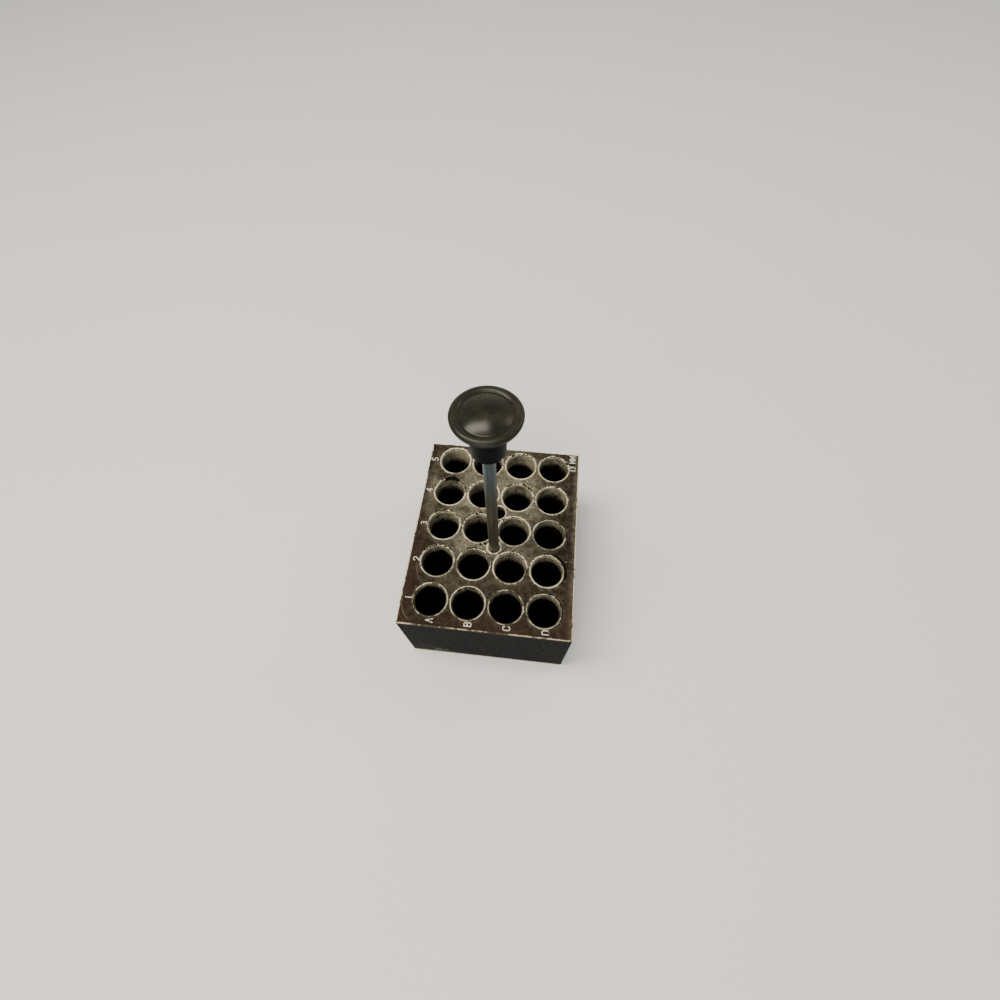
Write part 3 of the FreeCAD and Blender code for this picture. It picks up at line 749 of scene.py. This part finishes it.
class Shader:
    """Writes a node material whose patterns lie in millimetres of the object's own space."""

    def __init__(self, name, **constants):
        self.material = bpy.data.materials.new(name)
        self.material.use_nodes = True
        self.nodes, self.links = self.material.node_tree.nodes, self.material.node_tree.links
        self.surface = self.nodes["Principled BSDF"]
        for socket, number in constants.items():
            self.surface.inputs[socket.replace("_", " ")].default_value = number
        own = self.nodes.new("ShaderNodeTexCoord").outputs["Object"]
        self.place = self.vector("MULTIPLY", own, (1 / MM,) * 3)

    def feed(self, socket, source):
        """Link or set a socket."""
        if isinstance(source, bpy.types.NodeSocket):
            self.links.new(source, socket)
        elif isinstance(source, tuple) and len(source) == 3 and socket.type == "RGBA":
            socket.default_value = (*source, 1)
        else:
            socket.default_value = source

    def node(self, kind, inputs, output=0, **settings):
        made = self.nodes.new(f"ShaderNode{kind}")
        for name, setting in settings.items():
            setattr(made, name, setting)
        for key, source in inputs.items():
            self.feed(made.inputs[key], source)
        return made.outputs[output]

    def math(self, operation, *values):
        return self.node("Math", dict(enumerate(values)), operation=operation)

    def vector(self, operation, *values):
        return self.node("VectorMath", dict(enumerate(values)), operation=operation)

    def times(self, *values):
        total = values[0]
        for other in values[1:]:
            total = self.math("MULTIPLY", total, other)
        return total

    def plus(self, *values):
        total = values[0]
        for other in values[1:]:
            total = self.math("ADD", total, other)
        return total

    def step(self, source, low, high, start=0.0, end=1.0):
        """From start below low to end above high, smooth between."""
        return self.node("MapRange", {0: source, 1: low, 2: high, 3: start, 4: end},
                         interpolation_type="SMOOTHSTEP")

    def mix(self, part, first, second):
        return self.node("Mix", {0: part, 6: first, 7: second}, 2, data_type="RGBA")

    def noise(self, scale, detail=3.0, rough=0.55, stretch=(1, 1, 1), warp=0.0):
        spot = self.vector("MULTIPLY", self.place, stretch)
        return self.node("TexNoise", {"Vector": spot, "Scale": scale, "Detail": detail,
                                      "Roughness": rough, "Distortion": warp})

    def axis(self, index):
        return self.node("SeparateXYZ", {0: self.place}, index)

    def reach(self, x, y, wide=1, deep=1):
        """Distance from an upright line, in millimetres, or in shares of a width and a depth."""
        offset = self.vector("SUBTRACT", self.place, (x, y, 0))
        offset = self.vector("MULTIPLY", offset, (1 / wide, 1 / deep, 0))
        return self.node("VectorMath", {0: offset}, 1, operation="LENGTH")

    def finish(self, color, roughness, height=None, depth=None, metal=None):
        """The material itself. A height gives bumps of a depth in millimetres."""
        self.feed(self.surface.inputs["Base Color"], color)
        self.feed(self.surface.inputs["Roughness"], roughness)
        if metal is not None:
            self.feed(self.surface.inputs["Metallic"], metal)
        if height is not None:
            normal = self.node("Bump", {"Strength": 1.0, "Distance": depth * MM, "Height": height})
            self.feed(self.surface.inputs["Normal"], normal)
        return self.material


def arc_line(shader, x, y, radius, width):
    """1 on a circle seen from above, 0 a width away."""
    gap = shader.math("ABSOLUTE", shader.math("SUBTRACT", shader.reach(x, y), radius))
    return shader.step(gap, 0.0, width, 1.0, 0.0)


# Curved scratches in the coating: centre, radius, width, and the box that they stay in.
SCRATCHES = [
    ((-27.5, -37.5), 9.5, 0.40, (-38, -31.5, -46, -36)),
    ((-26.0, -36.0), 13.4, 0.15, (-38, -34, -47, -36)),
    ((-10.0, -17.0), 24.0, 0.25, (-36, -31, -28, -19)),
    ((20.0, 19.0), 14.0, 0.22, (33, 36, 16, 24)),
]


def worn_anodising():
    s = Shader("worn_anodising", Specular_IOR_Level=0.005)
    wear = s.nodes.new("ShaderNodeAttribute")
    wear.attribute_name = "wear"
    bare, crust, pale = (s.node("SeparateColor", {0: wear.outputs["Color"]}, i) for i in range(3))
    warm = wear.outputs["Alpha"]
    grit = s.noise(1.25, 5.0, 0.7)
    big = s.noise(0.07, 3.0)
    middle = s.noise(0.42, 4.0, 0.6)
    fine = s.noise(2.0, 5.0, 0.65)
    streak = s.noise(0.9, 4.0, 0.6, (0.25, 1.6, 1.0), 0.4)
    on_top = s.step(s.axis(2), TOP - 0.4, TOP - 0.25)
    below = s.math("SUBTRACT", 1.0, on_top)

    color = s.mix(s.step(middle, 0.35, 0.68), (0.012, 0.010, 0.0075), (0.044, 0.037, 0.027))
    color = s.mix(s.times(warm, s.step(fine, 0.3, 0.7, 0.45, 1.0)), color, (0.034, 0.019, 0.014))
    color = s.mix(s.times(below, 0.93), color, (0.004, 0.005, 0.008))

    # Pale colour: worn smudges on the top face and the sides, and painted light on the upper walls of
    # the wells; below the top face it is brighter.
    smear = s.plus(s.times(middle, 0.6), s.times(streak, 0.4))
    smudge_and_wall_light = s.times(pale, s.step(smear, 0.32, 0.62, 0.5, 1.2))
    khaki_and_lit_wall = s.mix(below, (0.182, 0.166, 0.122), (0.34, 0.31, 0.205))
    color = s.mix(s.math("MINIMUM", smudge_and_wall_light, 1.0), color, khaki_and_lit_wall)
    chalk = s.times(pale, s.step(grit, 0.50, 0.66), s.step(big, 0.4, 0.6, 0.4, 1.0))
    color = s.mix(s.times(chalk, 0.85), color, (0.46, 0.425, 0.32))
    dark_speck = s.times(on_top, s.step(s.noise(1.1, 3.0, 0.6), 0.58, 0.68))
    color = s.mix(s.times(dark_speck, 0.6), color, (0.012, 0.010, 0.008))

    lines = []
    x, y = s.axis(0), s.axis(1)
    for (middle_x, middle_y), radius, width, (x0, x1, y0, y1) in SCRATCHES:
        inside = s.times(s.step(x, x0, x0 + 1), s.step(x, x1 - 1, x1, 1.0, 0.0),
                         s.step(y, y0, y0 + 1), s.step(y, y1 - 1, y1, 1.0, 0.0))
        lines.append(s.times(arc_line(s, middle_x, middle_y, radius, width), inside, on_top))
    scratch = s.times(s.plus(*lines), s.step(fine, 0.35, 0.55))
    color = s.mix(s.times(scratch, 0.4), color, (0.24, 0.18, 0.13))
    hair = s.noise(0.5, 2.0, 0.5, (9.0, 0.22, 1.0), 0.8)
    hair = s.times(s.step(hair, 0.64, 0.70), s.step(big, 0.45, 0.6), 0.22)
    color = s.mix(hair, color, (0.2, 0.18, 0.14))

    shine = s.step(s.plus(bare, s.times(s.plus(grit, -0.5), 1.5)), 0.15, 0.62)
    shine = s.times(shine, s.step(bare, 0.05, 0.95, 0.2, 1.0), s.step(fine, 0.3, 0.55, 0.6, 1.0))
    color = s.mix(shine, color, s.mix(warm, (0.78, 0.71, 0.53), (0.56, 0.43, 0.31)))
    # Black from the crust channel: crust near the mouths and in pits, and painted shade deep in the
    # wells.
    dark = s.step(s.plus(crust, s.times(s.plus(grit, -0.5), -1.7)), 0.3, 0.6)
    color = s.mix(s.times(dark, s.step(crust, 0.05, 0.25)), color, (0.006, 0.005, 0.004))

    rough = s.step(middle, 0.3, 0.7, 0.36, 0.5)
    rough = s.math("MINIMUM", s.plus(rough, s.times(pale, 0.22), s.times(crust, 0.3)), 0.95)
    relief = s.plus(s.times(fine, s.step(on_top, 0, 1, 0.15, 0.6)), s.times(streak, on_top, 0.3),
                    s.times(scratch, -0.6), s.times(crust, -0.8))
    return s.finish(color, rough, relief, 0.05, metal=s.times(shine, 0.2))


def drawn_steel():
    s = Shader("drawn_steel", Specular_IOR_Level=0.5)
    lengthways = s.noise(1.1, 4.0, 0.6, (3.0, 3.0, 0.06))
    cloud = s.noise(0.25, 4.0, 0.6)
    pits = s.noise(2.6, 3.0, 0.6)
    # Painted reflection: the steel is warm near the block and bluish higher up, towards the knob.
    blue_reflection = s.step(s.axis(2), TOP + 30, KNOB_LOW[2] - 5)
    dark = s.mix(blue_reflection, (0.052, 0.048, 0.033), (0.024, 0.038, 0.046))
    light = s.mix(blue_reflection, (0.135, 0.125, 0.088), (0.066, 0.096, 0.112))
    color = s.mix(s.step(lengthways, 0.3, 0.7), dark, light)
    color = s.mix(s.step(cloud, 0.5, 0.72, 0.0, 0.4), color, (0.060, 0.055, 0.042))
    color = s.mix(s.step(pits, 0.66, 0.74, 0.0, 0.7), color, (0.03, 0.025, 0.02))
    rough = s.step(s.plus(s.times(lengthways, 0.5), s.times(cloud, 0.5)), 0.35, 0.65, 0.30, 0.5)
    return s.finish(color, rough, s.plus(lengthways, s.times(pits, -0.3)), 0.03, metal=0.7)


def polished_phenolic():
    s = Shader("polished_phenolic", Specular_IOR_Level=0.20)
    cloud = s.noise(0.16, 4.0, 0.6)
    dust = s.noise(3.0, 4.0, 0.7)
    scuff = s.noise(0.8, 3.0, 0.6, (6.0, 0.7, 1.0), 0.6)
    on_cap = s.step(s.axis(2), KNOB_HIGH[2] - 4.0, KNOB_HIGH[2] - 1.5)
    cap = s.mix(s.step(cloud, 0.35, 0.7), (0.012, 0.011, 0.008), (0.022, 0.020, 0.013))
    # Painted shade: the lower part of the cap and its underside darken to a bluish near-black.
    color = s.mix(on_cap, (0.0025, 0.0028, 0.004), cap)
    color = s.mix(s.step(dust, 0.66, 0.78, 0.0, 0.3), color, (0.07, 0.062, 0.048))
    # Painted reflection: a lighter olive band on the cap's rim beyond the crease.
    rim = s.step(s.reach(ROD_X, ROD_Y), CREASE_RADIUS, CREASE_RADIUS + 0.8)
    color = s.mix(s.times(rim, on_cap, 0.15), color, (0.030, 0.026, 0.015))
    rough = s.plus(s.step(cloud, 0.3, 0.7, 0.22, 0.30), s.step(scuff, 0.62, 0.72, 0.0, 0.10),
                   s.times(rim, 0.09))
    return s.finish(color, rough, s.plus(s.times(dust, 0.4), s.times(scuff, 0.3)), 0.012)


def dull_phenolic():
    # A darker, duller copy of the knob's phenolic for its neck and the cap's underside: painted shade
    # with a bluish tint of painted reflection.
    s = Shader("dull_phenolic", Specular_IOR_Level=0.03)
    cloud = s.noise(0.3, 4.0, 0.6)
    dust = s.noise(3.0, 4.0, 0.7)
    color = s.mix(s.step(cloud, 0.35, 0.7), (0.0015, 0.0018, 0.003), (0.004, 0.0045, 0.007))
    color = s.mix(s.step(dust, 0.68, 0.8, 0.0, 0.3), color, (0.04, 0.037, 0.03))
    return s.finish(color, s.step(cloud, 0.3, 0.7, 0.35, 0.5), dust, 0.008)


def turned_brass():
    s = Shader("turned_brass", Specular_IOR_Level=0.5)
    rings = s.noise(2.2, 3.0, 0.6, (0.2, 0.2, 5.0))
    stain = s.noise(0.5, 4.0, 0.6)
    color = s.mix(s.step(rings, 0.3, 0.7), (0.46, 0.33, 0.13), (0.66, 0.50, 0.22))
    color = s.mix(s.step(stain, 0.5, 0.75, 0.0, 0.7), color, (0.20, 0.13, 0.06))
    return s.finish(color, s.step(stain, 0.3, 0.7, 0.25, 0.5), rings, 0.02, metal=1.0)


# Spots where the paint is gone, on the 1, and on the D and the A: centre, reach, strength.
NUMBER_LOSS = [((-34.9, -36.8), (2.0, 0.6), 0.5)]
LETTER_LOSS = [((28.2, -45.0), (0.8, 1.2), 0.95), ((-23.25, -45.0), (0.5, 0.9), 0.85)]


def filling_paint(name, worn):
    """White paint, worn through in spots."""
    s = Shader(name, Specular_IOR_Level=0.4)
    fine, coarse = s.noise(3.2, 4.0, 0.65), s.noise(0.9, 3.0, 0.6)
    loss = s.step(s.plus(s.times(fine, 0.6), s.times(coarse, 0.4)), 0.53, 0.63, 0.0, 0.85)
    for (x, y), (wide, deep), strength in worn:
        spot = s.step(s.reach(x, y, wide, deep), 0.7, 1.1, 1.0, 0.0)
        loss = s.math("MAXIMUM", loss, s.times(spot, strength))
    color = s.mix(s.step(coarse, 0.3, 0.7), (0.50, 0.48, 0.42), (0.72, 0.70, 0.63))
    color = s.mix(loss, color, (0.045, 0.036, 0.028))
    return s.finish(color, s.step(fine, 0.3, 0.7, 0.5, 0.8), s.times(loss, -1.0), 0.03)


def floor_material():
    s = Shader("pale_floor", Specular_IOR_Level=0.3)
    cloud = s.noise(0.01, 3.0)
    return s.finish(s.mix(cloud, (0.78, 0.79, 0.80), (0.82, 0.82, 0.82)), 0.6)


def dress(piece, *materials):
    """Replace a piece's materials."""
    piece.data.materials.clear()
    for material in materials:
        piece.data.materials.append(material)


# ------------------------------------------------------------ stage

FLOOR_HALF, FLOOR_FRONT, FLOOR_BACK = 3000, -2500, 900
FLOOR_ROUND, FLOOR_HEIGHT = 500, 2500


def make_floor():
    """A floor that curves up far behind the object."""
    shell = Shell()
    steps = [(FLOOR_FRONT, 0), (FLOOR_BACK, 0)]
    steps += [(FLOOR_BACK + FLOOR_ROUND * math.sin(turn), FLOOR_ROUND - FLOOR_ROUND * math.cos(turn))
              for turn in np.linspace(0.1, 1.5, 12)]
    steps.append((FLOOR_BACK + FLOOR_ROUND, FLOOR_HEIGHT))
    rows = [shell.add_points([(-FLOOR_HALF, y, z), (FLOOR_HALF, y, z)]) for y, z in steps]
    shell.faces = [(low, low + 1, high + 1, high) for low, high in zip(rows, rows[1:])]
    mesh = new_mesh("floor", shell)
    smooth(mesh)
    floor = link("floor", mesh)
    dress(floor, floor_material())


def add_light(name, place, aim, size, power, color):
    """A soft rectangular light at a place, turned towards a point."""
    light = bpy.data.lights.new(name, "AREA")
    light.shape, light.size, light.size_y = "RECTANGLE", size[0], size[1]
    light.energy, light.color = power, color
    lamp = link(name, light)
    lamp.location = place
    lamp.rotation_euler = (Vector(aim) - Vector(place)).to_track_quat("-Z", "Y").to_euler()


def light_scene():
    world = bpy.data.worlds.new("studio")
    world.use_nodes = True
    background = world.node_tree.nodes["Background"]
    background.inputs["Color"].default_value = (0.92, 0.95, 1.0, 1)
    background.inputs["Strength"].default_value = 0.30
    bpy.context.scene.world = world
    add_light("ceiling", (-0.42, -0.06, 1.32), (0, 0, 0.1), (0.42, 1.0), 23, (1.0, 0.93, 0.76))
    add_light("front", (-0.15, -1.0, 0.9), (0, 0, 0.05), (0.9, 0.5), 7, (1.0, 0.96, 0.88))
    add_light("side", (0.86, 0.50, 0.85), (0, 0, 0.1), (0.25, 0.6), 3, (1.0, 0.94, 0.86))


CAMERA_PLACE = (15.50, -97.31, 257.67)
CAMERA_AHEAD = (-0.0643, 0.4831, -0.8732)
CAMERA_UP = (-0.0904, 0.8686, 0.4872)
FOCAL_LENGTH, SENSOR_WIDTH = 17.41, 36


def make_camera():
    """The camera at the photograph's viewing angle."""
    ahead, up = Vector(CAMERA_AHEAD).normalized(), Vector(CAMERA_UP)
    right = ahead.cross(up).normalized()
    up = right.cross(ahead)
    camera = link("camera", bpy.data.cameras.new("camera"))
    camera.data.lens, camera.data.sensor_width = FOCAL_LENGTH, SENSOR_WIDTH
    camera.data.clip_start = 0.01
    turn = Matrix((right, up, -ahead)).transposed().to_4x4()
    camera.matrix_world = Matrix.Translation(Vector(CAMERA_PLACE) * MM) @ turn
    bpy.context.scene.camera = camera


# ------------------------------------------------------------ the whole scene


def main():
    make_camera()
    light_scene()
    make_floor()
    block, rod, knob = make_block(), make_rod(), make_knob()
    for piece, node, *materials in ((block, "tube_block", worn_anodising()),
                                    (rod, "lifting_rod", drawn_steel()),
                                    (knob, "knob", polished_phenolic(), dull_phenolic())):
        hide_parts(node)
        dress(piece, *materials)
    # The neck and the cap's underside take the darker copy of the phenolic, which is painted shade.
    cap_low = (KNOB_LOW[2] + NECK_LENGTH + NECK_FILLET + 1.0) * MM
    for face in knob.data.polygons:
        face.material_index = int(face.center.z < cap_low)
    for node, material in (("knob_insert", turned_brass()),
                           ("row_numbers", filling_paint("number_paint", NUMBER_LOSS)),
                           ("column_letters", filling_paint("letter_paint", LETTER_LOSS)),
                           ("size_mark", filling_paint("mark_paint", []))):
        dress(frame["nodes"][node], material)


main()
